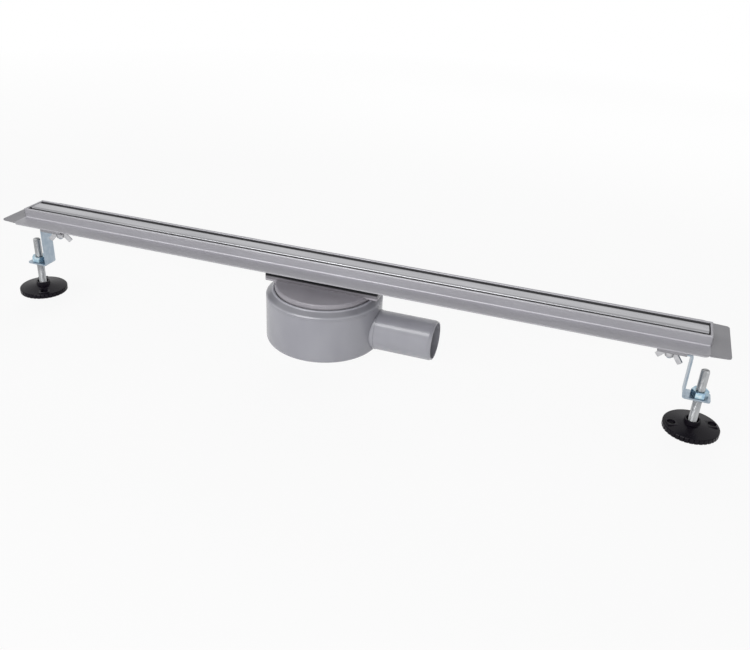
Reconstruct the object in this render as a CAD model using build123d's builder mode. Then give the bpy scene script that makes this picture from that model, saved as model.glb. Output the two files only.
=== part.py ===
"""Shower channel drain: folded steel channel, cover plate, swivelling floor trap and two adjustable feet.

Millimetres. The origin lies on the floor under the middle of the channel, X runs along the channel,
+Y is the wall side and +Z is up. Heights are worked out from the top of the rim downwards.
"""

import os
from math import cos, radians, sin

from build123d import *

os.makedirs("parts", exist_ok=True)

# Whole drain
install_height = 130.0
channel_length = 885.0
seat_gap = 0.3

# Folded channel sheet
sheet = 1.5
hem_gap = 0.2
rim_width = 37.8
bend_radius = 2.5
flange_bend = 1.2
trough_depth = 27.0
flange_drop = 12.0
flange_reach = 26.0
flange_corner = 7.0
flange_end_inset = 1.5

# End plates
wing_reach = 20.3
wing_root_half = 41.5
wing_taper = 2.3
wing_corner = 4.0

# Cover plate and the strips under it
cover_sheet = 1.5
cover_width = 19.8
cover_skirt = 12.0
cover_drop = 0.6
cover_end_gap = 1.3
cover_bend = 2.2
support_width = 20.0
support_count = 4
support_end_distance = 52.5
support_side_gap = 0.4

# Outlet in the trough floor
trap_x = -11.0
slot_end_inset = 9.1
slot_width = 18.0
clamp_end_margin = 15.0
clamp_thickness = 2.0
clamp_corner = 3.0
clamp_screw_end_distance = 7.5
clamp_screw_spacing_y = 16.0
clamp_screw_r = 2.5
clamp_screw_length = 14.0
clamp_screw_head_r = 4.2
clamp_screw_head_height = 2.4
clamp_screw_head_chamfer = 1.2
clamp_screw_fit = 0.05
clamp_screw_pilot_extra = 0.5
gasket_thickness = 3.0
gasket_end_inset = 1.0

# Trap head: saddle plate, round cap and the skirt that the pot turns on
saddle_overhang = 1.2
saddle_width = 35.0
saddle_thickness = 7.0
saddle_corner = 2.5
cap_drop_in_saddle = 5.1
cap_inset = 10.8
cap_height = 5.0
cap_edge_radius = 2.4
cap_wall = 4.0
skirt_inset = 11.7
skirt_wall = 4.5
skirt_length = 16.9
bead_reach = 1.6
bead_height = 1.6
seal_width = 3.0
seal_depth = 2.4
seal_groove_drop = 6.9
chute_wall = 2.5
chute_length = 14.0

# Trap pot
pot_r = 73.3
pot_wall = 3.0
pot_floor = 2.5
pot_bottom_drop = 109.5
pot_bottom_radius = 6.0
pot_inner_radius = 4.0
turn_gap = 0.3
lip_gap = 1.2
neck_wall = 3.0
lip_chamfer = 1.0
shoulder_top_inset = 7.0
shoulder_top_drop = 1.2
shoulder_foot_inset = 1.4
shoulder_foot_drop = 5.3
shoulder_edge_drop = 6.7
spigot_r = 25.0
spigot_wall = 2.7
spigot_reach = 147.0
spigot_axis_drop = 84.0
spigot_chamfer = 1.2
spigot_chamfer_length = 3.5
spigot_root_length = 0.6
spigot_root_rise = 0.4
cup_ring_height = 3.0
cup_ring_wall = 1.8

# Water seal inside the trap
cup_inset = 21.3
cup_wall = 2.0
cup_rim_drop = 64.0
insert_flange_end = 5.0
insert_flange_side = 3.0
insert_flange_thickness = 1.5
insert_tube_gap = 2.0
insert_wall = 1.5
insert_bottom_drop = 98.0
strainer_inset = 2.5
strainer_thickness = 1.0
strainer_slot_length = 6.4
strainer_slot_width = 2.4
strainer_columns = 10
strainer_rows = 3
strainer_pitch_x = 8.4
strainer_pitch_y = 4.0

# Legs: cradle, stud, bracket, nuts, spindle and foot
stud_inset = 38.1
cradle_length = 31.5
cradle_offset = 1.1
cradle_drop = 31.5
cradle_sheet = 1.5
cradle_side_drop = 15.0
cradle_bend = 2.0
stud_r = 3.0
stud_square = 6.0
stud_square_fit = 0.1
stud_head_r = 6.5
stud_head_height = 2.8
stud_dome_height = 1.8
stud_dome_width = 3.0
stud_length = 14.5
stud_chamfer = 0.8
stud_fit = 0.1
bracket_width = 20.0
bracket_sheet = 2.0
bracket_inner_reach = 11.0
bracket_web_reach = 22.7
bracket_height = 55.5
bracket_end_reach = 53.8
bracket_bend = 3.5
bracket_corner = 3.0
washer_r = 6.8
washer_thickness = 1.2
wing_hub_r = 6.0
wing_hub_tip_r = 4.8
wing_hub_height = 7.5
wing_span = 33.0
wing_height = 14.0
wing_blade_width = 6.2
wing_blade_length = 16.0
wing_blade_drop = 1.0
wing_blade_thickness = 2.4
wing_blade_lean = 42.0
wing_tip_radius = 1.2
thread_fit = 0.05
spindle_reach = 41.4
spindle_r = 5.0
spindle_top_drop = 51.3
spindle_chamfer = 1.0
spindle_slot_width = 1.6
spindle_slot_depth = 2.0
nut_across_flats = 17.0
nut_height = 8.0
nut_chamfer = 0.9
foot_r = 32.0
foot_rim_height = 6.0
foot_rim_chamfer = 0.8
foot_crown_height = 9.4
foot_hub_r = 9.6
foot_hub_tip_r = 9.0
foot_hub_height = 14.0
foot_mouth_r = 7.4
foot_mouth_depth = 4.5
foot_socket_floor = 4.0
foot_bar_length = 58.0
foot_bar_width = 14.0
foot_bar_height = 8.2
foot_bar_chamfer = 0.8
foot_hole_spacing = 47.0
foot_hole_r = 4.75
foot_notch_count = 36
foot_notch_size = 1.3
foot_turn = {"left": -50.0, "right": 17.0}
wing_turn = {"left": 15.0, "right": -25.0}

# Levels and half widths that several pieces share
rim_top = install_height
half_length = channel_length / 2
rim_half = rim_width / 2
hem_radius = sheet + hem_gap / 2
hem_level = rim_top - hem_radius
trough_half = rim_half - 2 * hem_radius
trough_outer_half = trough_half + sheet
trough_end = half_length - 2 * hem_radius
trough_bottom = rim_top - trough_depth
trough_floor = trough_bottom + sheet
flat_floor_half = trough_half - bend_radius
flange_top = rim_top - flange_drop
flange_half = rim_half + flange_reach
wing_tip_x = half_length + wing_reach
support_spacing = (channel_length - 2 * support_end_distance) / (support_count - 1)
skirt_r = pot_r - skirt_inset
skirt_inner_r = skirt_r - skirt_wall
cap_r = pot_r - cap_inset
cup_r = pot_r - cup_inset
slot_length = 2 * (skirt_inner_r - slot_end_inset)
clamp_length = slot_length + 2 * clamp_end_margin
clamp_half = flat_floor_half - seat_gap / 2
clamp_top = trough_floor + clamp_thickness
clamp_screw_spacing_x = slot_length + 2 * clamp_screw_end_distance
saddle_length = 2 * (pot_r + saddle_overhang)
saddle_top = trough_bottom - gasket_thickness
saddle_bottom = saddle_top - saddle_thickness
cap_top = saddle_top - cap_drop_in_saddle
cap_bottom = cap_top - cap_height
skirt_bottom = cap_bottom - skirt_length
neck_r = skirt_r + turn_gap
lip_top = cap_bottom - lip_gap
neck_bottom = skirt_bottom + bead_height + turn_gap
pot_bottom = rim_top - pot_bottom_drop
pot_floor_top = pot_bottom + pot_floor
pot_inner_r = pot_r - pot_wall
spigot_axis = rim_top - spigot_axis_drop
cradle_bottom = rim_top - cradle_drop
leg_top = cradle_bottom - bracket_height + bracket_sheet
stud_x = half_length - stud_inset
spindle_x = stud_x + spindle_reach


def keep(piece, label):
    """Label a finished piece and write its STEP file."""
    piece.part.label = label
    export_step(piece.part, f"parts/{label}.step")


def mirrored(piece):
    """The same piece at the other end of the channel."""
    with BuildPart() as other:
        mirror(piece.part, about=Plane.YZ)
    return other


def placed(piece, x, turn):
    """A piece drawn about the Z axis, moved out to x and turned about its own axis in degrees."""
    with BuildPart() as other:
        with Locations(Location((x, 0, 0), (0, 0, turn))):
            add(piece.part)
    return other


# Channel trough: one strip folded into floor, walls, hemmed rim and side flanges
with BuildPart() as channel_trough:
    with BuildSketch(Plane.YZ):
        with BuildLine():
            FilletPolyline(
                (0, trough_floor),
                (trough_half, trough_floor),
                (trough_half, hem_level),
                radius=bend_radius,
            )
            TangentArc((trough_half, hem_level), (rim_half, hem_level), tangent=(0, 1))
            FilletPolyline(
                (rim_half, hem_level),
                (rim_half, flange_top),
                (flange_half, flange_top),
                radius=flange_bend,
            )
            mirror(about=Plane.YZ)
            offset(amount=sheet, side=Side.RIGHT)
        make_face()
    extrude(amount=half_length, both=True)
    with BuildSketch(Plane.XY.offset(trough_bottom)):
        with BuildLine():
            Polyline(
                (0, flange_half),
                (half_length - flange_end_inset, flange_half),
                (half_length - flange_end_inset, rim_half),
                (half_length, rim_half),
                (trough_end, trough_half),
                (trough_end, -trough_half),
                (half_length, -rim_half),
                (half_length - flange_end_inset, -rim_half),
                (half_length - flange_end_inset, -flange_half),
                (0, -flange_half),
            )
            mirror(about=Plane.YZ)
        make_face()
    extrude(amount=trough_depth, mode=Mode.INTERSECT)
    upright_edges = channel_trough.edges().filter_by(Axis.Z).group_by(Axis.Y)
    fillet(upright_edges[0] + upright_edges[-1], radius=flange_corner)
    with BuildSketch(Plane.XY.offset(trough_bottom)):
        with Locations((trap_x, 0)):
            SlotOverall(slot_length, slot_width)
            with GridLocations(clamp_screw_spacing_x, clamp_screw_spacing_y, 2, 2):
                Circle(clamp_screw_r + seat_gap)
    extrude(amount=2 * sheet, mode=Mode.SUBTRACT)
keep(channel_trough, "channel_trough")


# End plates: wall, hem and outward wing folded from one blank, mitred into the trough
with BuildPart() as end_plate_right:
    with BuildSketch(Plane.XZ):
        with BuildLine():
            Line((trough_end, trough_bottom), (trough_end, hem_level))
            TangentArc((trough_end, hem_level), (half_length, hem_level), tangent=(0, 1))
            FilletPolyline(
                (half_length, hem_level),
                (half_length, flange_top),
                (wing_tip_x, flange_top),
                radius=flange_bend,
            )
            offset(amount=sheet, side=Side.LEFT)
        make_face()
    extrude(amount=rim_half, both=True)
    with BuildSketch(Plane.XY.offset(trough_bottom)):
        with BuildLine():
            Polyline(
                (trough_end, -trough_half),
                (trough_end, trough_half),
                (half_length, rim_half),
                (wing_tip_x, rim_half),
                (wing_tip_x, -rim_half),
                (half_length, -rim_half),
                close=True,
            )
        make_face()
    extrude(amount=trough_depth, mode=Mode.INTERSECT)
    with BuildSketch(Plane.XY.offset(flange_top - sheet)) as wing_outline:
        with BuildLine():
            Polyline(
                (half_length - flange_end_inset, -wing_root_half),
                (wing_tip_x, wing_taper - wing_root_half),
                (wing_tip_x, wing_root_half - wing_taper),
                (half_length - flange_end_inset, wing_root_half),
                close=True,
            )
        make_face()
        fillet(wing_outline.vertices().group_by(Axis.X)[-1], radius=wing_corner)
        with Locations((half_length, 0)):
            Rectangle(2 * flange_bend, rim_width, mode=Mode.SUBTRACT)
    extrude(amount=sheet)
keep(end_plate_right, "end_plate_right")
keep(mirrored(end_plate_right), "end_plate_left")


# Cover plate: a flat strip with both long edges folded down
cover_top = rim_top - cover_drop
cover_half = cover_width / 2
with BuildPart() as cover_plate:
    with BuildSketch(Plane.YZ):
        with BuildLine():
            FilletPolyline(
                (-cover_half, cover_top - cover_skirt),
                (-cover_half, cover_top),
                (cover_half, cover_top),
                (cover_half, cover_top - cover_skirt),
                radius=cover_bend,
            )
            offset(amount=cover_sheet, side=Side.RIGHT)
        make_face()
    extrude(amount=trough_end - cover_end_gap, both=True)
keep(cover_plate, "cover_plate")


# Cover supports: bent strips that stand on the trough floor and centre the cover
support_top = cover_top - cover_sheet
support_half = cover_half - cover_sheet - support_side_gap
support_foot = trough_floor + cover_sheet
support_foot_half = flat_floor_half - seat_gap / 2
with BuildPart() as support_strip:
    with BuildSketch(Plane.YZ):
        with BuildLine():
            FilletPolyline(
                (-support_foot_half, support_foot),
                (-support_half, support_foot),
                (-support_half, support_top),
                (support_half, support_top),
                (support_half, support_foot),
                (support_foot_half, support_foot),
                radius=cover_bend,
            )
            offset(amount=cover_sheet, side=Side.RIGHT)
        make_face()
    extrude(amount=support_width / 2, both=True)
with BuildPart() as cover_supports:
    with GridLocations(support_spacing, 0, support_count, 1):
        add(support_strip.part)
keep(cover_supports, "cover_supports")


# Clamp frame and screws: pull the trap head up against the trough floor
standing = (Align.CENTER, Align.CENTER, Align.MIN)
hanging = (Align.CENTER, Align.CENTER, Align.MAX)
with BuildPart() as clamp_frame:
    with BuildSketch(Plane.XY.offset(trough_floor)):
        with Locations((trap_x, 0)):
            RectangleRounded(clamp_length, 2 * clamp_half, clamp_corner)
            SlotOverall(slot_length, slot_width, mode=Mode.SUBTRACT)
            with GridLocations(clamp_screw_spacing_x, clamp_screw_spacing_y, 2, 2):
                Circle(clamp_screw_r + seat_gap, mode=Mode.SUBTRACT)
    extrude(amount=clamp_thickness)
keep(clamp_frame, "clamp_frame")

with BuildPart() as clamp_screws:
    with Locations((trap_x, 0, clamp_top)):
        with GridLocations(clamp_screw_spacing_x, clamp_screw_spacing_y, 2, 2):
            Cylinder(clamp_screw_head_r, clamp_screw_head_height, align=standing)
            Cylinder(clamp_screw_r, clamp_screw_length, align=hanging)
    chamfer(clamp_screws.faces().group_by(Axis.Z)[-1].edges(), length=clamp_screw_head_chamfer)
keep(clamp_screws, "clamp_screws")


# Gasket between trough and trap head
with BuildPart() as trough_gasket:
    with BuildSketch(Plane.XY.offset(saddle_top)):
        with Locations((trap_x, 0)):
            Rectangle(saddle_length - 2 * gasket_end_inset, 2 * trough_outer_half)
            SlotOverall(slot_length, slot_width, mode=Mode.SUBTRACT)
            with GridLocations(clamp_screw_spacing_x, clamp_screw_spacing_y, 2, 2):
                Circle(clamp_screw_r + seat_gap, mode=Mode.SUBTRACT)
    extrude(amount=gasket_thickness)
keep(trough_gasket, "trough_gasket")


# Trap head: saddle plate and round cap moulded in one, with the skirt that the pot snaps onto
trap_section = Plane(origin=(trap_x, 0, 0), x_dir=(1, 0, 0), z_dir=(0, -1, 0))
trap_axis = Axis((trap_x, 0, 0), (0, 0, 1))
cap_underside = cap_top - cap_wall
seal_level = cap_bottom - seal_groove_drop - seal_width / 2
pilot_bottom = clamp_top - clamp_screw_length - clamp_screw_pilot_extra
with BuildPart() as trap_head:
    with BuildSketch(trap_section) as head_profile:
        with BuildLine():
            Polyline(
                (0, cap_top),
                (cap_r, cap_top),
                (cap_r, cap_bottom),
                (skirt_r, cap_bottom),
                (skirt_r, skirt_bottom + bead_height),
                (skirt_r + bead_reach, skirt_bottom + bead_height),
                (skirt_r, skirt_bottom),
                (skirt_inner_r, skirt_bottom),
                (skirt_inner_r, cap_underside),
                (0, cap_underside),
                close=True,
            )
        make_face()
        fillet(head_profile.vertices().group_by(Axis.Y)[-1].sort_by(Axis.X)[-1], radius=cap_edge_radius)
        with Locations((skirt_r, seal_level)):
            Rectangle(2 * seal_depth, seal_width, mode=Mode.SUBTRACT)
    revolve(axis=trap_axis)
    with BuildSketch(Plane.XY.offset(saddle_bottom)):
        with Locations((trap_x, 0)):
            RectangleRounded(saddle_length, saddle_width, saddle_corner)
    extrude(amount=saddle_thickness)
    with BuildSketch(Plane.XY.offset(cap_underside)):
        with Locations((trap_x, 0)):
            SlotOverall(slot_length + 2 * chute_wall, slot_width + 2 * chute_wall)
    extrude(amount=-chute_length)
    with BuildSketch(Plane.XY.offset(saddle_top)):
        with Locations((trap_x, 0)):
            SlotOverall(slot_length, slot_width)
    extrude(amount=-(saddle_top - cap_underside + chute_length), mode=Mode.SUBTRACT)
    with BuildSketch(Plane.XY.offset(saddle_top)):
        with Locations((trap_x, 0)):
            with GridLocations(clamp_screw_spacing_x, clamp_screw_spacing_y, 2, 2):
                Circle(clamp_screw_r + clamp_screw_fit)
    extrude(amount=pilot_bottom - saddle_top, mode=Mode.SUBTRACT)
keep(trap_head, "trap_head")


# Seal ring in the groove of the skirt
with BuildPart() as seal_ring:
    with BuildSketch(trap_section):
        with Locations((skirt_r - seal_depth / 2, seal_level)):
            Rectangle(seal_depth, seal_width)
    revolve(axis=trap_axis)
keep(seal_ring, "seal_ring")


# Trap pot: round pot with a stepped shoulder, a neck ring inside and the outlet spigot
shoulder_top = lip_top - shoulder_top_drop
shoulder_foot = lip_top - shoulder_foot_drop
shoulder_edge = lip_top - shoulder_edge_drop
neck_outer_r = neck_r + neck_wall
spigot_bore_r = spigot_r - spigot_wall
spigot_root_end = pot_r + spigot_root_length
spigot_section = Plane(origin=(trap_x, 0, spigot_axis), x_dir=(1, 0, 0), z_dir=(0, -1, 0))
with BuildPart() as trap_pot:
    with BuildSketch(trap_section) as pot_profile:
        with BuildLine():
            Polyline(
                (0, pot_bottom),
                (pot_r, pot_bottom),
                (pot_r, shoulder_edge),
                (pot_r - shoulder_foot_inset, shoulder_foot),
                (pot_r - shoulder_top_inset, shoulder_top),
                (neck_outer_r, lip_top),
                (0, lip_top),
                close=True,
            )
        make_face()
        fillet(pot_profile.vertices().group_by(Axis.Y)[0].sort_by(Axis.X)[-1], radius=pot_bottom_radius)
    revolve(axis=trap_axis)
    with BuildSketch(spigot_section):
        with BuildLine():
            Polyline(
                (0, 0),
                (0, spigot_r + spigot_root_rise),
                (spigot_root_end, spigot_r + spigot_root_rise),
                (spigot_root_end, spigot_r),
                (spigot_reach - spigot_chamfer_length, spigot_r),
                (spigot_reach, spigot_r - spigot_chamfer),
                (spigot_reach, 0),
                close=True,
            )
        make_face()
    revolve(axis=Axis((trap_x, 0, spigot_axis), (1, 0, 0)))
    with BuildSketch(trap_section) as pot_hollow:
        with BuildLine():
            Polyline(
                (0, pot_floor_top),
                (pot_inner_r, pot_floor_top),
                (pot_inner_r, shoulder_edge - pot_wall / 2),
                (neck_outer_r, shoulder_top - pot_wall),
                (neck_outer_r, neck_bottom),
                (neck_r, neck_bottom),
                (neck_r, lip_top - lip_chamfer),
                (neck_r + lip_chamfer, lip_top),
                (0, lip_top),
                close=True,
            )
        make_face()
        fillet(pot_hollow.vertices().group_by(Axis.Y)[0].sort_by(Axis.X)[-1], radius=pot_inner_radius)
    revolve(axis=trap_axis, mode=Mode.SUBTRACT)
    with BuildSketch(Plane(origin=(trap_x, 0, spigot_axis), x_dir=(0, 1, 0), z_dir=(1, 0, 0))):
        Circle(spigot_bore_r)
    extrude(amount=spigot_reach, mode=Mode.SUBTRACT)
    with BuildSketch(Plane.XY.offset(pot_floor_top)):
        with Locations((trap_x, 0)):
            Circle(cup_r + seat_gap + cup_ring_wall)
            Circle(cup_r + seat_gap, mode=Mode.SUBTRACT)
    extrude(amount=cup_ring_height)
keep(trap_pot, "trap_pot")


# Seal cup: stands in the ring on the pot floor and holds the water seal
cup_height = rim_top - cup_rim_drop - pot_floor_top
with BuildPart() as seal_cup:
    with BuildSketch(Plane.XY.offset(pot_floor_top)):
        with Locations((trap_x, 0)):
            Circle(cup_r)
    extrude(amount=cup_height)
    with BuildSketch(Plane.XY.offset(pot_floor_top + cup_wall)):
        with Locations((trap_x, 0)):
            Circle(cup_r - cup_wall)
    extrude(amount=cup_height, mode=Mode.SUBTRACT)
keep(seal_cup, "seal_cup")


# Trap insert: lift-out dip tube that hangs by its flange on the clamp frame
insert_bottom = rim_top - insert_bottom_drop
insert_flange_length = slot_length + 2 * insert_flange_end
insert_flange_width = slot_width + 2 * insert_flange_side
insert_tube_length = slot_length - 2 * insert_tube_gap
insert_tube_width = slot_width - 2 * insert_tube_gap
insert_top = clamp_top + insert_flange_thickness
with BuildPart() as trap_insert:
    with BuildSketch(Plane.XY.offset(clamp_top)):
        with Locations((trap_x, 0)):
            SlotOverall(insert_flange_length, insert_flange_width)
    extrude(amount=insert_flange_thickness)
    with BuildSketch(Plane.XY.offset(insert_bottom)):
        with Locations((trap_x, 0)):
            SlotOverall(insert_tube_length, insert_tube_width)
    extrude(amount=clamp_top - insert_bottom)
    with BuildSketch(Plane.XY.offset(insert_bottom)):
        with Locations((trap_x, 0)):
            SlotOverall(insert_tube_length - 2 * insert_wall, insert_tube_width - 2 * insert_wall)
    extrude(amount=insert_top - insert_bottom, mode=Mode.SUBTRACT)
keep(trap_insert, "trap_insert")


# Hair strainer: slotted plate that lies on the insert's flange
with BuildPart() as hair_strainer:
    with BuildSketch(Plane.XY.offset(insert_top)):
        with Locations((trap_x, 0)):
            SlotOverall(insert_flange_length - 2 * strainer_inset, insert_flange_width - 2 * strainer_inset)
            with GridLocations(strainer_pitch_x, strainer_pitch_y, strainer_columns, strainer_rows):
                Rectangle(strainer_slot_length, strainer_slot_width, mode=Mode.SUBTRACT)
    extrude(amount=strainer_thickness)
keep(hair_strainer, "hair_strainer")


# Leg cradle: U-shaped sheet welded under the trough, with room for the stud's head
stud_seat = cradle_bottom + cradle_sheet
cradle_side_top = rim_top - cradle_side_drop
stud_hole = stud_square + 2 * stud_square_fit
with BuildPart() as leg_cradle_right:
    with BuildSketch(Plane.YZ.offset(stud_x + cradle_offset)):
        with BuildLine():
            FilletPolyline(
                (-trough_outer_half, cradle_side_top),
                (-trough_outer_half, stud_seat),
                (trough_outer_half, stud_seat),
                (trough_outer_half, cradle_side_top),
                radius=cradle_bend,
            )
            offset(amount=cradle_sheet, side=Side.RIGHT)
        make_face()
    extrude(amount=cradle_length / 2, both=True)
    with BuildSketch(Plane.XY.offset(cradle_bottom)):
        with Locations((stud_x, 0)):
            Rectangle(stud_hole, stud_hole)
    extrude(amount=cradle_sheet, mode=Mode.SUBTRACT)
keep(leg_cradle_right, "leg_cradle_right")
keep(mirrored(leg_cradle_right), "leg_cradle_left")


# Stud: domed bolt with a square neck, pointing down out of the cradle
with BuildPart() as stud_right:
    with Locations((stud_x, 0, stud_seat)):
        Cylinder(stud_head_r, stud_head_height, align=standing)
        Box(stud_square, stud_square, cradle_sheet, align=hanging)
        Cylinder(stud_r, stud_length, align=hanging)
    chamfer(stud_right.faces().sort_by(Axis.Z)[-1].edges(), length=stud_dome_height, length2=stud_dome_width)
    chamfer(stud_right.faces().sort_by(Axis.Z)[0].edges(), length=stud_chamfer)
keep(stud_right, "stud_right")
keep(mirrored(stud_right), "stud_left")


# Leg bracket: Z-folded strip, its upper leg under the cradle and its lower leg outwards
bracket_web_outer = stud_x + bracket_web_reach + bracket_sheet
with BuildPart() as bracket_right:
    with BuildSketch(Plane.XZ):
        with BuildLine():
            FilletPolyline(
                (stud_x - bracket_inner_reach, cradle_bottom),
                (bracket_web_outer, cradle_bottom),
                (bracket_web_outer, leg_top),
                (stud_x + bracket_end_reach, leg_top),
                radius=[bracket_bend, bracket_bend - bracket_sheet],
            )
            offset(amount=bracket_sheet, side=Side.RIGHT)
        make_face()
    extrude(amount=bracket_width / 2, both=True)
    strip_corners = bracket_right.edges().filter_by(Axis.Z).group_by(Axis.X)
    fillet(strip_corners[0] + strip_corners[-1], radius=bracket_corner)
    with BuildSketch(Plane.XY.offset(cradle_bottom)):
        with Locations((stud_x, 0)):
            Circle(stud_r + stud_fit)
    extrude(amount=-bracket_sheet, mode=Mode.SUBTRACT)
    with BuildSketch(Plane.XY.offset(leg_top)):
        with Locations((spindle_x, 0)):
            Circle(spindle_r + thread_fit)
    extrude(amount=-bracket_sheet, mode=Mode.SUBTRACT)
keep(bracket_right, "bracket_right")
keep(mirrored(bracket_right), "bracket_left")


# Weld nut on the bracket's lower leg, its top corners turned down
nut_half = nut_across_flats / 2
nut_cut_r = 2 * nut_half / cos(radians(30)) - nut_half
nut_top = leg_top + nut_height
with BuildPart() as weld_nut_right:
    with BuildSketch(Plane.XY.offset(leg_top)):
        with Locations((spindle_x, 0)):
            RegularPolygon(nut_half, 6, major_radius=False)
            Circle(spindle_r + thread_fit, mode=Mode.SUBTRACT)
    extrude(amount=nut_height)
    with BuildSketch(Plane(origin=(spindle_x, 0, nut_top), x_dir=(1, 0, 0), z_dir=(0, -1, 0))):
        with BuildLine():
            Polyline((nut_half, 0), (nut_cut_r, 0), (nut_cut_r, -nut_chamfer), close=True)
        make_face()
    revolve(axis=Axis((spindle_x, 0, 0), (0, 0, 1)), mode=Mode.SUBTRACT)
keep(weld_nut_right, "weld_nut_right")
keep(mirrored(weld_nut_right), "weld_nut_left")


# Washer between bracket and wing nut
washer_top = cradle_bottom - bracket_sheet
wing_seat = washer_top - washer_thickness
with BuildPart() as washer_right:
    with BuildSketch(Plane.XY.offset(washer_top)):
        with Locations((stud_x, 0)):
            Circle(washer_r)
            Circle(stud_r + stud_fit, mode=Mode.SUBTRACT)
    extrude(amount=-washer_thickness)
keep(washer_right, "washer_right")
keep(mirrored(washer_right), "washer_left")


# Wing nut: tapered hub with two blades that lean outwards and down
blade_end_x = wing_span / 2 - wing_blade_width / 2 * cos(radians(wing_blade_lean))
blade_end_z = wing_blade_width / 2 * sin(radians(wing_blade_lean)) - wing_height
wing_section = Plane(origin=(0, 0, wing_seat), x_dir=(1, 0, 0), z_dir=(0, -1, 0))
with BuildPart() as wing_nut:
    with BuildSketch(wing_section):
        with BuildLine():
            Polyline(
                (0, 0),
                (wing_hub_r, 0),
                (wing_hub_tip_r, -wing_hub_height),
                (0, -wing_hub_height),
                close=True,
            )
        make_face()
    revolve(axis=Axis.Z)
    with BuildSketch(wing_section) as blades:
        with Locations((blade_end_x, blade_end_z)):
            Rectangle(
                wing_blade_width,
                wing_blade_length,
                rotation=wing_blade_lean,
                align=(Align.CENTER, Align.MIN),
            )
        blade_tip = blades.vertices().sort_by(Axis.Y)[0:2]
        fillet(blade_tip, radius=wing_tip_radius)
        mirror(about=Plane.YZ)
        with Locations((0, -wing_blade_drop)):
            Rectangle(wing_span, wing_height, align=(Align.CENTER, Align.MAX), mode=Mode.INTERSECT)
    extrude(amount=wing_blade_thickness / 2, both=True)
    with BuildSketch(Plane.XY.offset(wing_seat)):
        Circle(stud_r + thread_fit)
    extrude(amount=-wing_height, mode=Mode.SUBTRACT)
keep(placed(wing_nut, stud_x, wing_turn["right"]), "wing_nut_right")
keep(placed(wing_nut, -stud_x, wing_turn["left"]), "wing_nut_left")


# Spindle: threaded rod that stands in the foot and is turned with a screwdriver
spindle_top = rim_top - spindle_top_drop
with BuildPart() as spindle_right:
    with BuildSketch(Plane.XY.offset(foot_socket_floor)):
        with Locations((spindle_x, 0)):
            Circle(spindle_r)
    extrude(amount=spindle_top - foot_socket_floor)
    chamfer(spindle_right.faces().sort_by(Axis.Z)[-1].edges(), length=spindle_chamfer)
    with BuildSketch(Plane.XY.offset(spindle_top)):
        with Locations((spindle_x, 0)):
            Rectangle(2 * spindle_r, spindle_slot_width)
    extrude(amount=-spindle_slot_depth, mode=Mode.SUBTRACT)
keep(spindle_right, "spindle_right")
keep(mirrored(spindle_right), "spindle_left")


# Foot: crowned disc with a raised bar, a hub with the spindle's socket and two screw holes
with BuildPart() as foot_bar:
    with BuildSketch(Plane.XY.offset(foot_bar_height / 2)):
        Rectangle(foot_bar_length, foot_bar_width)
        Circle(foot_bar_length / 2, mode=Mode.INTERSECT)
    extrude(amount=foot_bar_height / 2)
    chamfer(foot_bar.faces().sort_by(Axis.Z)[-1].edges(), length=foot_bar_chamfer)

with BuildPart() as foot:
    with BuildSketch(Plane.XZ) as foot_profile:
        with BuildLine():
            Polyline(
                (0, 0),
                (foot_r, 0),
                (foot_r, foot_rim_height - foot_rim_chamfer),
                (foot_r - foot_rim_chamfer, foot_rim_height),
                (foot_hub_r, foot_crown_height),
                (foot_hub_tip_r, foot_hub_height),
                (0, foot_hub_height),
                close=True,
            )
        make_face()
    revolve(axis=Axis.Z)
    add(foot_bar.part)
    with BuildSketch():
        with GridLocations(foot_hole_spacing, 0, 2, 1):
            Circle(foot_hole_r)
        with PolarLocations(foot_r, foot_notch_count):
            Rectangle(foot_notch_size, foot_notch_size, rotation=45)
    extrude(amount=foot_hub_height, mode=Mode.SUBTRACT)
    with BuildSketch(Plane.XY.offset(foot_socket_floor)):
        Circle(spindle_r + thread_fit)
    extrude(amount=foot_hub_height, mode=Mode.SUBTRACT)
    with BuildSketch(Plane.XY.offset(foot_hub_height)):
        Circle(foot_mouth_r)
    extrude(amount=-foot_mouth_depth, mode=Mode.SUBTRACT)
keep(placed(foot, spindle_x, foot_turn["right"]), "foot_right")
keep(placed(foot, -spindle_x, foot_turn["left"]), "foot_left")
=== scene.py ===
"""Looks of the shower channel drain: finishes, spindle threads, floor, light and camera, in metres."""

from math import cos, pi, radians, sin

import bmesh
import bpy
from mathutils import Matrix, Vector


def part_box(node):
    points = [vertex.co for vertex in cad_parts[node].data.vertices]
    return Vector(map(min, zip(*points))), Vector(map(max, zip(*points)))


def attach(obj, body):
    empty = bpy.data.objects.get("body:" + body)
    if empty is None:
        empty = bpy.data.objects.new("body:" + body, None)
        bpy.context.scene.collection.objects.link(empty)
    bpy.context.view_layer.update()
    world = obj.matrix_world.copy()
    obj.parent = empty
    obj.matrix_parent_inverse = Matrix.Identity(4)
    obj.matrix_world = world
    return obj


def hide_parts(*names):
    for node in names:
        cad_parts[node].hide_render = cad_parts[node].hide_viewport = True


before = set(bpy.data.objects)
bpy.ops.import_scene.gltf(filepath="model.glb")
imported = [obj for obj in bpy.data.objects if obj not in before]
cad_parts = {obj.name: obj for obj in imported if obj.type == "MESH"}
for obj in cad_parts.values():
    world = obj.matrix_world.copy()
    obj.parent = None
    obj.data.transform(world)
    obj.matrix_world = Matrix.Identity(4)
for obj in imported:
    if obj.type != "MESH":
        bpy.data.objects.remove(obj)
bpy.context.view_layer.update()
mm = 0.001
sides = ("left", "right")
white = (1.0, 1.0, 1.0, 1.0)

# Camera, as fitted to the photograph's view of the rim, the trap and both feet
camera_place = (0.33463, -0.87462, 0.53535)
camera_azimuth = 17.59
camera_elevation = 27.83
camera_roll = 3.10
camera_lens = 39.74
camera_sensor = 36.0
camera_reach = 100.0

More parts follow.
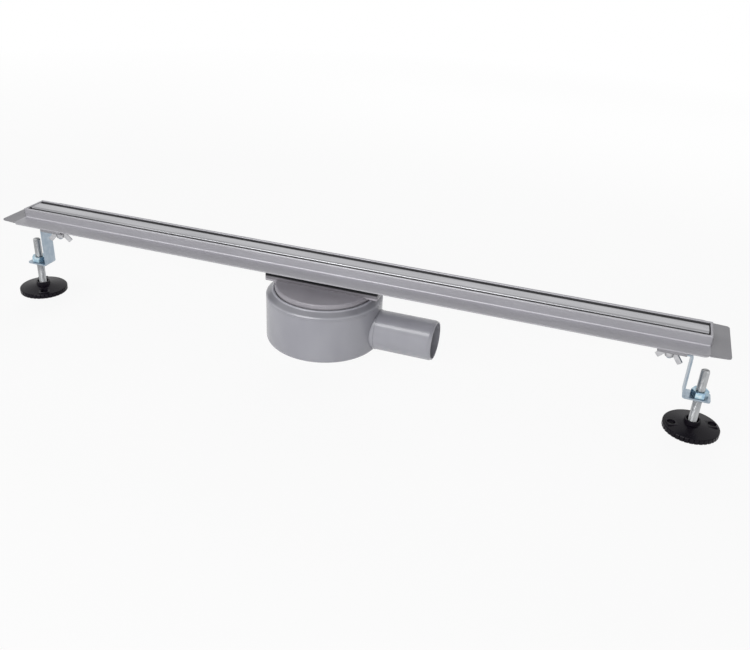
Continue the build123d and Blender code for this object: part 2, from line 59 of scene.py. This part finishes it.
# Studio, with the floor just under the lowest place that a foot reaches
floor_size = 60.0
floor_level = -24.5 * mm
floor_white = 0.95
floor_shadow_share = 0.1
shadow_fade = (0.9, 2.4)
ambient_strength = 0.3
backdrop_strength = 1.0

# Lamps: name, place, length, width, power, whether they light matt faces, whether shiny faces mirror them
lamp_target = (0.0, 0.0, 0.08)
lamps = (
    ("strip", (-0.4, -0.96, 1.5), 1.3, 0.5, 13.0, False, True),
    ("front", (-0.1, -1.8, 0.75), 2.0, 0.7, 25.0, True, False),
    ("back", (0.1, 1.8, 0.75), 2.0, 0.7, 10.0, True, False),
)

# Shading that several finishes share
edge_samples = 6
# Samples for the painted shade in seams
seam_samples = 6
even_grain = (1.0, 1.0, 1.0)
tone_stops = (0.35, 0.65)
# Range over which the painted shade grows at edges turned away from view
outline_range = (0.15, 0.75)


def new_material(name):
    """An empty node material with its Principled shader, as (material, nodes, links, shader)."""
    material = bpy.data.materials.new(name)
    material.use_nodes = True
    nodes = material.node_tree.nodes
    return material, nodes, material.node_tree.links, nodes["Principled BSDF"]


def mapped_noise(nodes, links, stretch, scale, detail=3.0, roughness=0.55):
    """Noise in the part's own frame, its grain drawn out by stretch along each axis."""
    place = nodes.new("ShaderNodeTexCoord")
    mapping = nodes.new("ShaderNodeMapping")
    mapping.inputs["Scale"].default_value = stretch
    noise = nodes.new("ShaderNodeTexNoise")
    noise.inputs["Scale"].default_value = scale
    noise.inputs["Detail"].default_value = detail
    noise.inputs["Roughness"].default_value = roughness
    links.new(place.outputs["Object"], mapping.inputs["Vector"])
    links.new(mapping.outputs["Vector"], noise.inputs["Vector"])
    return noise


def colour_ramp(nodes, links, factor, stops):
    """A ramp from (position, colour) stops, driven by factor."""
    ramp = nodes.new("ShaderNodeValToRGB")
    elements = ramp.color_ramp.elements
    for element, (position, colour) in zip(elements, stops):
        element.position = position
        element.color = (*colour, 1.0)
    for position, colour in stops[2:]:
        elements.new(position).color = (*colour, 1.0)
    links.new(factor, ramp.inputs["Fac"])
    return ramp


def value_range(nodes, links, factor, low, high):
    """Factor from 0 to 1 brought to the range from low to high."""
    scaled = nodes.new("ShaderNodeMapRange")
    scaled.inputs["To Min"].default_value = low
    scaled.inputs["To Max"].default_value = high
    links.new(factor, scaled.inputs["Value"])
    return scaled


def add_relief(nodes, links, shader, heights, edge_radius):
    """Soft edges of edge_radius metres, with bumps of (height output, depth in metres, strength) on top."""
    edge = nodes.new("ShaderNodeBevel")
    edge.samples = edge_samples
    edge.inputs["Radius"].default_value = edge_radius
    normal = edge.outputs["Normal"]
    for height, depth, strength in heights:
        bump = nodes.new("ShaderNodeBump")
        bump.inputs["Distance"].default_value = depth
        bump.inputs["Strength"].default_value = strength
        links.new(height, bump.inputs["Height"])
        links.new(normal, bump.inputs["Normal"])
        normal = bump.outputs["Normal"]
    links.new(normal, shader.inputs["Normal"])


def shaded_seams(nodes, links, colour, reach, depth):
    """The colour with painted shade, darkened by up to depth in gaps and corners narrower than reach metres.
    """
    cavity = nodes.new("ShaderNodeAmbientOcclusion")
    cavity.samples = seam_samples
    cavity.inputs["Distance"].default_value = reach
    open_share = value_range(nodes, links, cavity.outputs["AO"], 1.0 - depth, 1.0)
    mixed = nodes.new("ShaderNodeMix")
    mixed.data_type = "RGBA"
    mixed.blend_type = "MULTIPLY"
    mixed.inputs["Factor"].default_value = 1.0
    links.new(colour, mixed.inputs["A"])
    links.new(open_share.outputs["Result"], mixed.inputs["B"])
    return mixed.outputs["Result"]


def band(nodes, links, axis, low, high, softness):
    """1 where the size of the object coordinate along axis lies from low to high, fading over softness."""
    place = nodes.new("ShaderNodeTexCoord")
    parts = nodes.new("ShaderNodeSeparateXYZ")
    size = nodes.new("ShaderNodeMath")
    size.operation = "ABSOLUTE"
    inside = nodes.new("ShaderNodeMath")
    inside.operation = "MULTIPLY"
    links.new(place.outputs["Object"], parts.inputs["Vector"])
    links.new(parts.outputs[axis], size.inputs[0])
    for index, (level, start) in enumerate(((low, 0.0), (high, 1.0))):
        edge = nodes.new("ShaderNodeMapRange")
        edge.inputs["From Min"].default_value = level - softness
        edge.inputs["From Max"].default_value = level + softness
        edge.inputs["To Min"].default_value = start
        edge.inputs["To Max"].default_value = 1.0 - start
        links.new(size.outputs["Value"], edge.inputs["Value"])
        links.new(edge.outputs["Result"], inside.inputs[index])
    return inside.outputs["Value"]


def larger(nodes, links, first, second):
    """The larger of two values."""
    choice = nodes.new("ShaderNodeMath")
    choice.operation = "MAXIMUM"
    links.new(first, choice.inputs[0])
    links.new(second, choice.inputs[1])
    return choice.outputs["Value"]


def product(nodes, links, factors):
    """The product of several values."""
    total = factors[0]
    for factor in factors[1:]:
        times = nodes.new("ShaderNodeMath")
        times.operation = "MULTIPLY"
        links.new(total, times.inputs[0])
        links.new(factor, times.inputs[1])
        total = times.outputs["Value"]
    return total


def shaded(nodes, links, colour, share, tone):
    """The colour, multiplied by tone where share is 1."""
    mixed = nodes.new("ShaderNodeMix")
    mixed.data_type = "RGBA"
    mixed.blend_type = "MULTIPLY"
    mixed.inputs["B"].default_value = (tone, tone, tone, 1.0)
    links.new(share, mixed.inputs["Factor"])
    links.new(colour, mixed.inputs["A"])
    return mixed.outputs["Result"]


def toned(nodes, links, colour, zones):
    """The colour, multiplied by a tone in each zone of (bands, tone)."""
    for bands, tone in zones:
        share = product(nodes, links, [band(nodes, links, *limits) for limits in bands])
        colour = shaded(nodes, links, colour, share, tone)
    return colour


def painted_edge_shade(nodes, links, colour, tone):
    """The colour with painted shade, multiplied by up to tone where a face turns away from view."""
    weight = nodes.new("ShaderNodeLayerWeight")
    turned = nodes.new("ShaderNodeMapRange")
    turned.inputs["From Min"].default_value = outline_range[0]
    turned.inputs["From Max"].default_value = outline_range[1]
    links.new(weight.outputs["Facing"], turned.inputs["Value"])
    return shaded(nodes, links, colour, turned.outputs["Result"], tone)


def brushed_steel(name, tones, roughness, metallic, grain_stretch, edge_radius, zones=()):
    """Stainless sheet with a grain along the channel, multiplied by a tone in each zone of (bands, tone),
    painted shade and highlights among them.
    """
    grain_scale = 4.0
    cloud_stretch = (4.0, 20.0, 20.0)
    cloud_scale = 2.0
    cloud_share = 0.5
    brush_depth = 0.02 * mm
    brush_strength = 0.35
    material, nodes, links, shader = new_material(name)
    grain = mapped_noise(nodes, links, grain_stretch, grain_scale, detail=4.0)
    cloud = mapped_noise(nodes, links, cloud_stretch, cloud_scale)
    mixed = nodes.new("ShaderNodeMath")
    mixed.operation = "MULTIPLY_ADD"
    mixed.inputs[1].default_value = 1.0 - cloud_share
    links.new(grain.outputs["Fac"], mixed.inputs[0])
    cloud_part = value_range(nodes, links, cloud.outputs["Fac"], 0.0, cloud_share)
    links.new(cloud_part.outputs["Result"], mixed.inputs[2])
    ramp = colour_ramp(nodes, links, mixed.outputs["Value"], list(zip(tone_stops, tones)))
    # Painted shade and highlights in the zones
    colour = toned(nodes, links, ramp.outputs["Color"], zones)
    links.new(colour, shader.inputs["Base Color"])
    rough = value_range(nodes, links, grain.outputs["Fac"], *roughness)
    links.new(rough.outputs["Result"], shader.inputs["Roughness"])
    shader.inputs["Metallic"].default_value = metallic
    shader.inputs["Anisotropic"].default_value = 0.4
    add_relief(nodes, links, shader, [(grain.outputs["Fac"], brush_depth, brush_strength)], edge_radius)
    return material


def zinc_plating(name, stops, roughness, outline=1.0):
    """Zinc plating whose tint drifts over the piece, with painted shade toned by outline where its faces turn
    away and painted shade in its seams.
    """
    tint_scale = 160.0
    speck_scale = 1400.0
    speck_depth = 0.03 * mm
    speck_strength = 0.3
    plated_edge = 0.3 * mm
    # Painted shade in seams and corners
    seam_reach = 3.0 * mm
    seam_depth = 0.6
    material, nodes, links, shader = new_material(name)
    tint = mapped_noise(nodes, links, even_grain, tint_scale, detail=2.0)
    speck = mapped_noise(nodes, links, even_grain, speck_scale, detail=3.0)
    ramp = colour_ramp(nodes, links, tint.outputs["Fac"], stops)
    # Painted shade at edges turned away from view, and painted shade in seams below
    colour = painted_edge_shade(nodes, links, ramp.outputs["Color"], outline)
    links.new(shaded_seams(nodes, links, colour, seam_reach, seam_depth), shader.inputs["Base Color"])
    rough = value_range(nodes, links, speck.outputs["Fac"], *roughness)
    links.new(rough.outputs["Result"], shader.inputs["Roughness"])
    shader.inputs["Metallic"].default_value = 1.0
    add_relief(nodes, links, shader, [(speck.outputs["Fac"], speck_depth, speck_strength)], plated_edge)
    return material


def moulded_plastic(name, tones, roughness, specular, texture_depth, edge, grooves=(), zones=()):
    """Moulded plastic with a fine skin, flow marks, grooves from low to high in Z, toned zones that paint
    shade and highlights, and painted shade in its seams.
    """
    flow_stretch = (1.0, 1.0, 0.4)
    flow_scale = 26.0
    skin_scale = 1500.0
    skin_strength = 0.3
    groove_softness = 0.2 * mm
    groove_depth = 0.4 * mm
    groove_strength = 0.8
    # Painted shade in seams and corners
    seam_reach = 2.5 * mm
    seam_depth = 0.75
    material, nodes, links, shader = new_material(name)
    flow = mapped_noise(nodes, links, flow_stretch, flow_scale, detail=2.0)
    skin = mapped_noise(nodes, links, even_grain, skin_scale, detail=2.0)
    ramp = colour_ramp(nodes, links, flow.outputs["Fac"], list(zip(tone_stops, tones)))
    # Painted shade and highlights in the zones, then painted shade in seams
    colour = toned(nodes, links, ramp.outputs["Color"], zones)
    links.new(shaded_seams(nodes, links, colour, seam_reach, seam_depth), shader.inputs["Base Color"])
    rough = value_range(nodes, links, skin.outputs["Fac"], *roughness)
    links.new(rough.outputs["Result"], shader.inputs["Roughness"])
    shader.inputs["Specular IOR Level"].default_value = specular
    heights = [(skin.outputs["Fac"], texture_depth, skin_strength)]
    for low, high in grooves:
        groove = band(nodes, links, "Z", low, high, groove_softness)
        heights.append((groove, -groove_depth, groove_strength))
    add_relief(nodes, links, shader, heights, edge)
    return material


def black_rubber(name):
    """Matt black rubber with a fine grain."""
    grain_scale = 900.0
    grain_depth = 0.05 * mm
    grain_strength = 0.4
    rubber_edge = 0.2 * mm
    material, nodes, links, shader = new_material(name)
    grain = mapped_noise(nodes, links, even_grain, grain_scale)
    stops = [(0.3, (0.006, 0.006, 0.007)), (0.7, (0.014, 0.014, 0.015))]
    ramp = colour_ramp(nodes, links, grain.outputs["Fac"], stops)
    links.new(ramp.outputs["Color"], shader.inputs["Base Color"])
    shader.inputs["Roughness"].default_value = 0.8
    shader.inputs["Specular IOR Level"].default_value = 0.3
    add_relief(nodes, links, shader, [(grain.outputs["Fac"], grain_depth, grain_strength)], rubber_edge)
    return material


def dress(material, *node_names):
    """Gives CAD nodes their material."""
    for node_name in node_names:
        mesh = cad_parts[node_name].data
        mesh.materials.clear()
        mesh.materials.append(material)


def both(*stems):
    """Node names at the left and the right end."""
    return [f"{stem}_{side}" for stem in stems for side in sides]


def level_zone(low, high, softness, tone):
    """A zone with its tone between two heights, in millimetres."""
    return ((("Z", low * mm, high * mm, softness * mm),), tone)


# Zones that are toned, each as (bands of (axis, low, high, softness), tone), open ones running past the part;
# they paint shade and highlights into the colour, and tone the channel's ends darker
past_low = -1.0
past_high = 1.0
# Painted shade inside the trough
inside_x = ("X", past_low, 439.4 * mm, 0.15 * mm)
inside_y = ("Y", past_low, 15.8 * mm, 0.15 * mm)
inside_z = ("Z", 104.0 * mm, 129.0 * mm, 0.15 * mm)
painted_trough_shade = ((inside_x, inside_y, inside_z), 0.15)
# Painted highlight on the flange beside its bend
bend_x = ("X", past_low, 442.0 * mm, 0.3 * mm)
bend_y = ("Y", 10.0 * mm, 26.0 * mm, 7.0 * mm)
bend_z = ("Z", 110.0 * mm, 119.0 * mm, 0.3 * mm)
painted_bend_highlight = ((bend_x, bend_y, bend_z), 1.25)
channel_ends = ((("X", 441.5 * mm, past_high, 0.3 * mm),), 0.62)
# Painted shade in a band before the cover's fold
painted_fold_shade = ((("Y", 6.2 * mm, 9.4 * mm, 0.3 * mm),), 0.68)
# Painted shade on the cover's side
painted_cover_side_shade = level_zone(100.0, 128.3, 0.3, 0.5)
# Painted shade on the saddle's edge
painted_saddle_shade = level_zone(95.2, 101.0, 0.2, 0.42)
gasket_shade = level_zone(99.0, 101.0, 0.2, 0.15)
# Painted shade on the cap's side
painted_cap_side_shade = level_zone(89.5, 94.4, 0.3, 0.7)
# Painted highlight on the lip
painted_lip_highlight = level_zone(87.8, 89.0, 0.2, 1.4)
# Painted shade on the shoulder's slope
painted_shoulder_shade = level_zone(83.6, 87.4, 0.5, 0.78)
# Painted highlight on the shoulder's edge
painted_shoulder_highlight = level_zone(81.8, 83.0, 0.3, 1.15)
steel_zones = (painted_trough_shade, painted_bend_highlight, channel_ends)
cover_zones = (painted_fold_shade, painted_cover_side_shade)
head_zones = (painted_saddle_shade, gasket_shade, painted_cap_side_shade)
pot_zones = (painted_lip_highlight, painted_shoulder_shade, painted_shoulder_highlight)

# Stainless sheet
sheet_grain = (12.0, 900.0, 900.0)
cover_grain = (5.0, 260.0, 260.0)
sheet_edge = 0.3 * mm
steel_tones = ((0.405, 0.4, 0.425), (0.48, 0.475, 0.505))
cradle_tones = ((0.28, 0.275, 0.295), (0.33, 0.325, 0.345))
cover_tones = ((0.37, 0.37, 0.39), (0.53, 0.53, 0.55))
fitting_tones = ((0.3, 0.3, 0.31), (0.4, 0.4, 0.41))
steel = brushed_steel("channel_steel", steel_tones, (0.36, 0.5), 0.4, sheet_grain, 0.35 * mm, steel_zones)
cradle_steel = brushed_steel("cradle_steel", cradle_tones, (0.36, 0.5), 0.4, sheet_grain, sheet_edge)
cover_steel = brushed_steel("cover_steel", cover_tones, (0.22, 0.36), 0.9, cover_grain, 0.9 * mm, cover_zones)
hidden_steel = brushed_steel("fitting_steel", fitting_tones, (0.3, 0.45), 0.9, sheet_grain, sheet_edge)

# Zinc plating
zinc_stops = [(0.3, (0.32, 0.39, 0.46)), (0.7, (0.42, 0.48, 0.54))]
pale_stops = [(0.3, (0.5, 0.5, 0.52)), (0.7, (0.66, 0.66, 0.68))]
rod_stops = [(0.3, (0.72, 0.735, 0.75)), (0.7, (0.82, 0.835, 0.85))]
nut_stops = [(0.3, (0.3, 0.44, 0.62)), (0.7, (0.84, 0.9, 0.95)), (0.5, (0.5, 0.7, 0.8))]
zinc = zinc_plating("zinc_plating", zinc_stops, (0.25, 0.4))
pale_zinc = zinc_plating("pale_plating", pale_stops, (0.3, 0.45), 0.5)
rod_zinc = zinc_plating("rod_plating", rod_stops, (0.25, 0.4), 0.3)
nut_zinc = zinc_plating("nut_plating", nut_stops, (0.15, 0.3), 0.6)

# Plastic and rubber, with two fine grooves round the pot
skin_depth = 0.02 * mm
foot_skin_depth = 0.06 * mm
moulded_edge = 0.3 * mm
soft_edge = 0.4 * mm
pot_rings = ((80.3 * mm, 80.8 * mm), (78.3 * mm, 78.9 * mm))
# Head tones: the plastic's own faint purple tint, lightened as painted light for the cap's top, which lies in
# the channel's shade
lit_head_tones = ((0.43, 0.41, 0.45), (0.48, 0.46, 0.5))
trap_tones = ((0.31, 0.31, 0.345), (0.345, 0.345, 0.38))
foot_tones = ((0.005, 0.0035, 0.007), (0.009, 0.007, 0.012))
trap_plastic = moulded_plastic("trap_plastic", trap_tones, (0.2, 0.28), 0.6, skin_depth, soft_edge)
pot_skin = (trap_tones, (0.2, 0.28), 0.6, skin_depth, moulded_edge)
pot_plastic = moulded_plastic("pot_plastic", *pot_skin, pot_rings, pot_zones)
head_skin = (lit_head_tones, (0.24, 0.34), 0.5, skin_depth, moulded_edge)
head_plastic = moulded_plastic("head_plastic", *head_skin, zones=head_zones)
foot_plastic = moulded_plastic("foot_plastic", foot_tones, (0.18, 0.3), 0.12, foot_skin_depth, soft_edge)
rubber = black_rubber("gasket_rubber")

dress(steel, "channel_trough", *both("end_plate"))
dress(cradle_steel, *both("leg_cradle"))
dress(cover_steel, "cover_plate")
dress(hidden_steel, "cover_supports", "clamp_frame", "clamp_screws", "hair_strainer")
dress(zinc, *both("stud", "bracket", "washer"))
dress(pale_zinc, *both("wing_nut"))
dress(rod_zinc, *both("spindle"))
dress(nut_zinc, *both("weld_nut"))
dress(head_plastic, "trap_head")
dress(trap_plastic, "seal_cup", "trap_insert")
dress(pot_plastic, "trap_pot")
dress(foot_plastic, *both("foot"))
dress(rubber, "trough_gasket", "seal_ring")


def link_piece(mesh, name, material):
    """A new object for a mesh, with its material."""
    piece = bpy.data.objects.new(name, mesh)
    bpy.context.collection.objects.link(piece)
    mesh.materials.append(material)
    return piece


def thread_radius(crest, depth, phase):
    """Radius of a 60 degree thread with flattened crest and root, at a phase from 0 to 1 along its pitch."""
    crest_flat = 0.12
    flank_width = 0.68
    flank = abs(2.0 * (phase % 1.0) - 1.0)
    return crest - depth * min(max((flank - crest_flat) / flank_width, 0.0), 1.0)


def threaded_rod(name, centre, bottom, top, crest, pitch, chamfer):
    """Mesh of an upright rod with a right-hand thread, its ends chamfered, from bottom to top in metres."""
    columns = 40
    rows_per_turn = 8
    depth_per_pitch = 0.6
    rows = round((top - bottom) / pitch * rows_per_turn)
    depth = depth_per_pitch * pitch
    build = bmesh.new()
    rings = []
    for row in range(rows + 1):
        height = bottom + (top - bottom) * row / rows
        end_gap = min(top - height, height - bottom)
        limit = crest - chamfer + end_gap if end_gap < chamfer else crest
        ring = []
        for column in range(columns):
            angle = 2 * pi * column / columns
            radius = min(thread_radius(crest, depth, height / pitch - column / columns), limit)
            place = (centre[0] + radius * cos(angle), centre[1] + radius * sin(angle), height)
            ring.append(build.verts.new(place))
        rings.append(ring)
    for lower, upper in zip(rings, rings[1:]):
        for column in range(columns):
            after = (column + 1) % columns
            build.faces.new((lower[column], lower[after], upper[after], upper[column]))
    build.faces.new(reversed(rings[0]))
    build.faces.new(rings[-1])
    mesh = bpy.data.meshes.new(name)
    build.to_mesh(mesh)
    build.free()
    for face in mesh.polygons:
        face.use_smooth = len(face.vertices) == 4
    return mesh


def cut_slot(piece, centre, top, width, depth, length):
    """Screwdriver slot across the rod's end."""
    build = bmesh.new()
    bmesh.ops.create_cube(build, size=1.0)
    bmesh.ops.scale(build, vec=(length, width, 2 * depth), verts=build.verts)
    bmesh.ops.translate(build, vec=(centre[0], centre[1], top), verts=build.verts)
    mesh = bpy.data.meshes.new("slot_cutter")
    build.to_mesh(mesh)
    build.free()
    cutter = bpy.data.objects.new("slot_cutter", mesh)
    bpy.context.collection.objects.link(cutter)
    cut = piece.modifiers.new("slot", "BOOLEAN")
    cut.operation = "DIFFERENCE"
    cut.solver = "EXACT"
    cut.object = cutter
    depsgraph = bpy.context.evaluated_depsgraph_get()
    result = bpy.data.meshes.new_from_object(piece.evaluated_get(depsgraph))
    piece.modifiers.clear()
    piece.data = result
    bpy.data.objects.remove(cutter)


spindle_pitch = 1.5 * mm
spindle_chamfer = 1.0 * mm
slot_width = 1.6 * mm
slot_depth = 2.0 * mm
for side in sides:
    low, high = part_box(f"spindle_{side}")
    axis = ((low[0] + high[0]) / 2, (low[1] + high[1]) / 2)
    crest = (high[0] - low[0]) / 2
    ends = (low[2], high[2])
    mesh = threaded_rod(f"spindle_thread_{side}", axis, *ends, crest, spindle_pitch, spindle_chamfer)
    rod = link_piece(mesh, f"spindle_thread_{side}", rod_zinc)
    slot_length = 3 * crest
    cut_slot(rod, axis, high[2], slot_width, slot_depth, slot_length)
    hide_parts(f"spindle_{side}")
    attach(rod, f"spindle_{side}")


def plain_floor():
    """Pale floor that keeps a soft shadow of the object and turns plain white further out."""
    material, nodes, links, shader = new_material("floor_white")
    shader.inputs["Base Color"].default_value = (floor_white, floor_white, floor_white, 1.0)
    shader.inputs["Roughness"].default_value = 1.0
    shader.inputs["Specular IOR Level"].default_value = 0.0
    glow = nodes.new("ShaderNodeEmission")
    glow.inputs["Strength"].default_value = backdrop_strength
    rays = nodes.new("ShaderNodeLightPath")
    place = nodes.new("ShaderNodeTexCoord")
    distance = nodes.new("ShaderNodeVectorMath")
    distance.operation = "LENGTH"
    faded = nodes.new("ShaderNodeMapRange")
    faded.inputs["From Min"].default_value = shadow_fade[0]
    faded.inputs["From Max"].default_value = shadow_fade[1]
    faded.inputs["To Min"].default_value = 1.0 - floor_shadow_share
    faded.inputs["To Max"].default_value = 1.0
    links.new(place.outputs["Object"], distance.inputs[0])
    links.new(distance.outputs["Value"], faded.inputs["Value"])
    seen = larger(nodes, links, rays.outputs["Is Camera Ray"], rays.outputs["Is Glossy Ray"])
    share = product(nodes, links, [seen, faded.outputs["Result"]])
    mixed = nodes.new("ShaderNodeMixShader")
    links.new(share, mixed.inputs["Fac"])
    links.new(shader.outputs["BSDF"], mixed.inputs[1])
    links.new(glow.outputs["Emission"], mixed.inputs[2])
    links.new(mixed.outputs["Shader"], nodes["Material Output"].inputs["Surface"])
    bpy.ops.mesh.primitive_plane_add(size=floor_size, location=(0.0, 0.0, floor_level))
    floor = bpy.context.object
    floor.name = "studio_floor"
    floor.data.materials.append(material)


def studio_world():
    """White surroundings, full white to the camera, in reflections and through the piece, dimmer as light."""
    world = bpy.data.worlds.new("studio")
    bpy.context.scene.world = world
    world.use_nodes = True
    nodes = world.node_tree.nodes
    links = world.node_tree.links
    light = nodes["Background"]
    light.inputs["Color"].default_value = white
    light.inputs["Strength"].default_value = ambient_strength
    backdrop = nodes.new("ShaderNodeBackground")
    backdrop.inputs["Color"].default_value = white
    backdrop.inputs["Strength"].default_value = backdrop_strength
    rays = nodes.new("ShaderNodeLightPath")
    seen = larger(nodes, links, rays.outputs["Is Camera Ray"], rays.outputs["Is Glossy Ray"])
    shown = larger(nodes, links, seen, rays.outputs["Is Transmission Ray"])
    mixed = nodes.new("ShaderNodeMixShader")
    links.new(shown, mixed.inputs["Fac"])
    links.new(light.outputs["Background"], mixed.inputs[1])
    links.new(backdrop.outputs["Background"], mixed.inputs[2])
    links.new(mixed.outputs["Shader"], nodes["World Output"].inputs["Surface"])


def soft_lamp(name, place, length, width, power, lights, mirrored):
    """An area lamp at place, aimed at the part, that may light matt faces and be mirrored in shiny ones."""
    lamp = bpy.data.lights.new(name, "AREA")
    lamp.shape = "RECTANGLE"
    lamp.size = length
    lamp.size_y = width
    lamp.energy = power
    holder = bpy.data.objects.new(name, lamp)
    holder.location = place
    holder.visible_diffuse = lights
    holder.visible_glossy = mirrored
    aim = Vector(lamp_target) - Vector(place)
    holder.rotation_euler = aim.to_track_quat("-Z", "Y").to_euler()
    bpy.context.collection.objects.link(holder)


def photo_camera():
    """The camera at the photograph's viewing angle."""
    data = bpy.data.cameras.new("photo_camera")
    data.lens = camera_lens
    data.sensor_width = camera_sensor
    data.clip_end = camera_reach
    camera = bpy.data.objects.new("photo_camera", data)
    turn = Matrix.Rotation(radians(camera_azimuth), 4, "Z")
    tilt = Matrix.Rotation(radians(90.0 - camera_elevation), 4, "X")
    roll = Matrix.Rotation(radians(camera_roll), 4, "Z")
    camera.matrix_world = Matrix.Translation(camera_place) @ turn @ tilt @ roll
    bpy.context.collection.objects.link(camera)
    bpy.context.scene.camera = camera


plain_floor()
studio_world()
for lamp_values in lamps:
    soft_lamp(*lamp_values)
photo_camera()
bpy.context.scene.view_settings.view_transform = "Standard"
